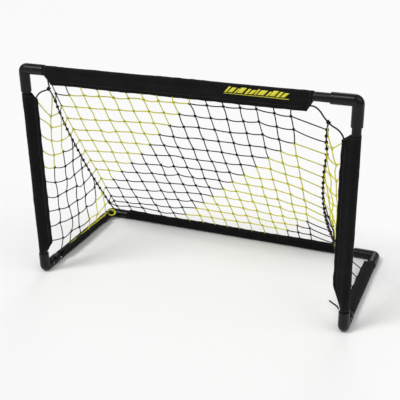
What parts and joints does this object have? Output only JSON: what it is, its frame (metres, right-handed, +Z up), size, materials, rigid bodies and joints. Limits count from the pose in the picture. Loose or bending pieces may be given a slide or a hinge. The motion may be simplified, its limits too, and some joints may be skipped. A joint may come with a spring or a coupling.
{
  "type": "folding lawn goal",
  "caption": "Small folding lawn goal: round tube frame with moulded corners, fabric sleeves and a knotted net that slopes from the crossbar to the rear bar.",
  "frame": {"origin": "on the ground, at the middle of the overall width and depth", "axes": "+X to the right seen from the mouth, +Y from the mouth towards the back, +Z up"},
  "size_m": [0.9, 0.433, 0.6132],
  "materials": {
    "tube_paint": "black powder-coated steel tube",
    "corner_plastic": "black injection-moulded plastic with a soft gloss",
    "coupler_plastic": "dark grey moulded insert",
    "button_steel": "blackened steel button",
    "fastener_steel": "zinc-plated steel",
    "sleeve_fabric": "black woven polyester, sewn along the seam",
    "net_cord": "knotted polyethylene cord, black and yellow in diagonal bands",
    "border_rope": "black twisted border rope"
  },
  "bodies": {
    "base_frame": {"left_hinge_knuckle": "corner_plastic", "right_hinge_knuckle": "corner_plastic", "left_side_tube": "tube_paint", "right_side_tube": "tube_paint", "left_rear_elbow": "corner_plastic", "right_rear_elbow": "corner_plastic", "rear_bar_left_tube": "tube_paint", "rear_bar_right_tube": "tube_paint", "rear_bar_coupler": "coupler_plastic", "left_rear_button_spring": "fastener_steel", "right_rear_button_spring": "fastener_steel", "knuckle_screws": "fastener_steel", "left_side_sleeve": "sleeve_fabric", "right_side_sleeve": "sleeve_fabric", "rear_sleeve": "sleeve_fabric", "net_back_panel": "net_cord", "net_left_panel": "net_cord", "net_right_panel": "net_cord", "left_ridge_rope": "border_rope", "right_ridge_rope": "border_rope"},
    "front_frame": {"left_hinge_socket": "corner_plastic", "right_hinge_socket": "corner_plastic", "left_hinge_pin": "fastener_steel", "right_hinge_pin": "fastener_steel", "left_post_tube": "tube_paint", "right_post_tube": "tube_paint", "left_top_elbow": "corner_plastic", "right_top_elbow": "corner_plastic", "crossbar_left_tube": "tube_paint", "crossbar_right_tube": "tube_paint", "crossbar_coupler": "coupler_plastic", "left_top_button_spring": "fastener_steel", "right_top_button_spring": "fastener_steel", "socket_screws": "fastener_steel", "crossbar_sleeve": "sleeve_fabric", "left_post_sleeve": "sleeve_fabric", "right_post_sleeve": "sleeve_fabric", "left_corner_rope": "border_rope", "right_corner_rope": "border_rope", "rope_end": "border_rope"},
    "left_top_button": {"left_top_button": "button_steel"},
    "right_top_button": {"right_top_button": "button_steel"},
    "left_rear_button": {"left_rear_button": "button_steel"},
    "right_rear_button": {"right_rear_button": "button_steel"}
  },
  "joints": [
    {"name": "fold", "type": "hinge", "parent": "base_frame", "child": "front_frame", "pos_m": [0, -0.1725, 0.0132], "axis": [-1, 0, 0], "range_deg": [0, 90], "deforming": ["net_back_panel", "net_left_panel", "net_right_panel", "left_ridge_rope", "right_ridge_rope"]},
    {"name": "left_top_button_press", "type": "slide", "parent": "front_frame", "child": "left_top_button", "axis": [0, 0, -1], "range_m": [0, 0.003], "stiffness_N_per_m": 900, "springref_m": -0.002, "deforming": ["left_top_button_spring"]},
    {"name": "right_top_button_press", "type": "slide", "parent": "front_frame", "child": "right_top_button", "axis": [-1, 0, 0], "range_m": [0, 0.003], "stiffness_N_per_m": 900, "springref_m": -0.002, "deforming": ["right_top_button_spring"]},
    {"name": "left_rear_button_press", "type": "slide", "parent": "base_frame", "child": "left_rear_button", "axis": [0, -1, 0], "range_m": [0, 0.003], "stiffness_N_per_m": 900, "springref_m": -0.002, "deforming": ["left_rear_button_spring"]},
    {"name": "right_rear_button_press", "type": "slide", "parent": "base_frame", "child": "right_rear_button", "axis": [-1, 0, 0], "range_m": [0, 0.003], "stiffness_N_per_m": 900, "springref_m": -0.002, "deforming": ["right_rear_button_spring"]}
  ]
}
